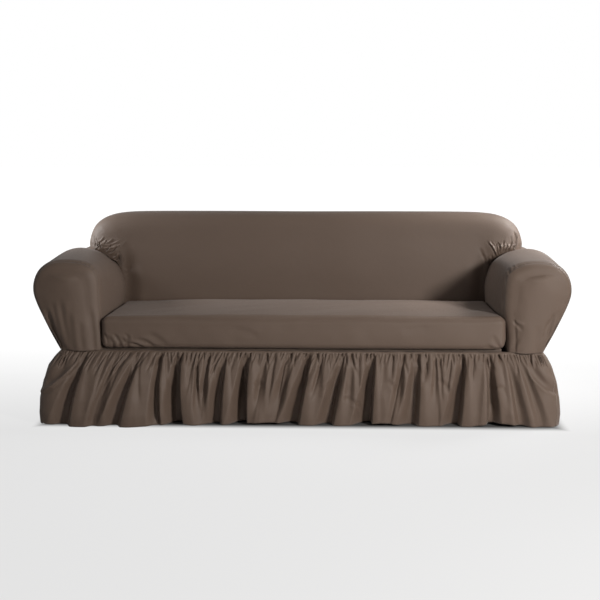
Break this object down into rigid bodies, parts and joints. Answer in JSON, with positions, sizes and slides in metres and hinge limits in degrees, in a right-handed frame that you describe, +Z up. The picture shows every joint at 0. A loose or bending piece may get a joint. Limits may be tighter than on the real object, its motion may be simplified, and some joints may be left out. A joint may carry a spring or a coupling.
{
  "type": "sofa slipcover",
  "caption": "Two-piece fabric slipcover for a sofa with rolled arms: a fitted cover with a gathered skirt down to the floor, and a separate cover for one long seat cushion.",
  "frame": {"origin": "on the floor, under the middle of the cover", "axes": "+X to the right as seen from the front, along the sofa; +Y to the rear, so the front faces -Y; +Z up"},
  "size_m": [2.2576, 1.0805, 0.8409],
  "materials": {
    "cover_cloth": "matt cotton twill, brown-grey, with a faint sheen",
    "cushion_cloth": "the same matt cotton twill, drawn smooth over the cushion",
    "skirt_cloth": "the same matt cotton twill, gathered"
  },
  "bodies": {
    "root": {"inside_back": "cover_cloth", "outside_back": "cover_cloth", "arm_left": "cover_cloth", "arm_front_left": "cover_cloth", "arm_right": "cover_cloth", "arm_front_right": "cover_cloth", "seat_deck": "cover_cloth", "cushion_cover": "cushion_cloth", "skirt_front": "skirt_cloth", "skirt_right": "skirt_cloth", "skirt_rear": "skirt_cloth", "skirt_left": "skirt_cloth"}
  },
  "joints": []
}
